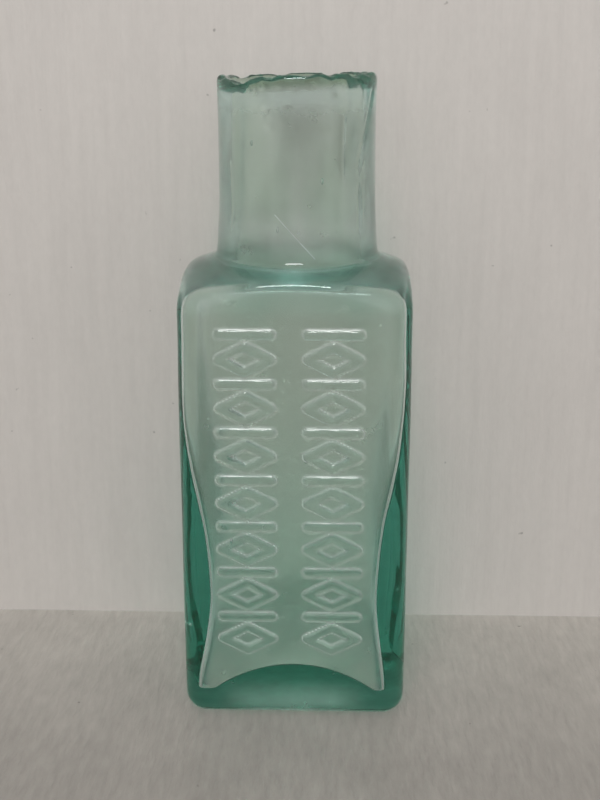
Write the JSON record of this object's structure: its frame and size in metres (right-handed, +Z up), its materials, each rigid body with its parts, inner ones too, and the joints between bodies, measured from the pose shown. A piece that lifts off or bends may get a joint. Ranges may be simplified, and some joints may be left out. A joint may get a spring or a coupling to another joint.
{
  "type": "glass bottle",
  "caption": "Small square bottle of thick pale aqua glass with a domed shoulder, a wide straight neck, a sheared lip and raised lozenge-and-bar ornament on its front face.",
  "frame": {"origin": "standing plane, under the middle of the body", "axes": "+Z up along the neck, -Y towards the face with the raised ornament, +X to the right of someone who looks at that face"},
  "size_m": [0.0424, 0.043, 0.12],
  "materials": {
    "aqua_glass": "glossy outside, cloudy inside"
  },
  "bodies": {
    "root": {"glass_bottle": "aqua_glass"}
  },
  "joints": []
}
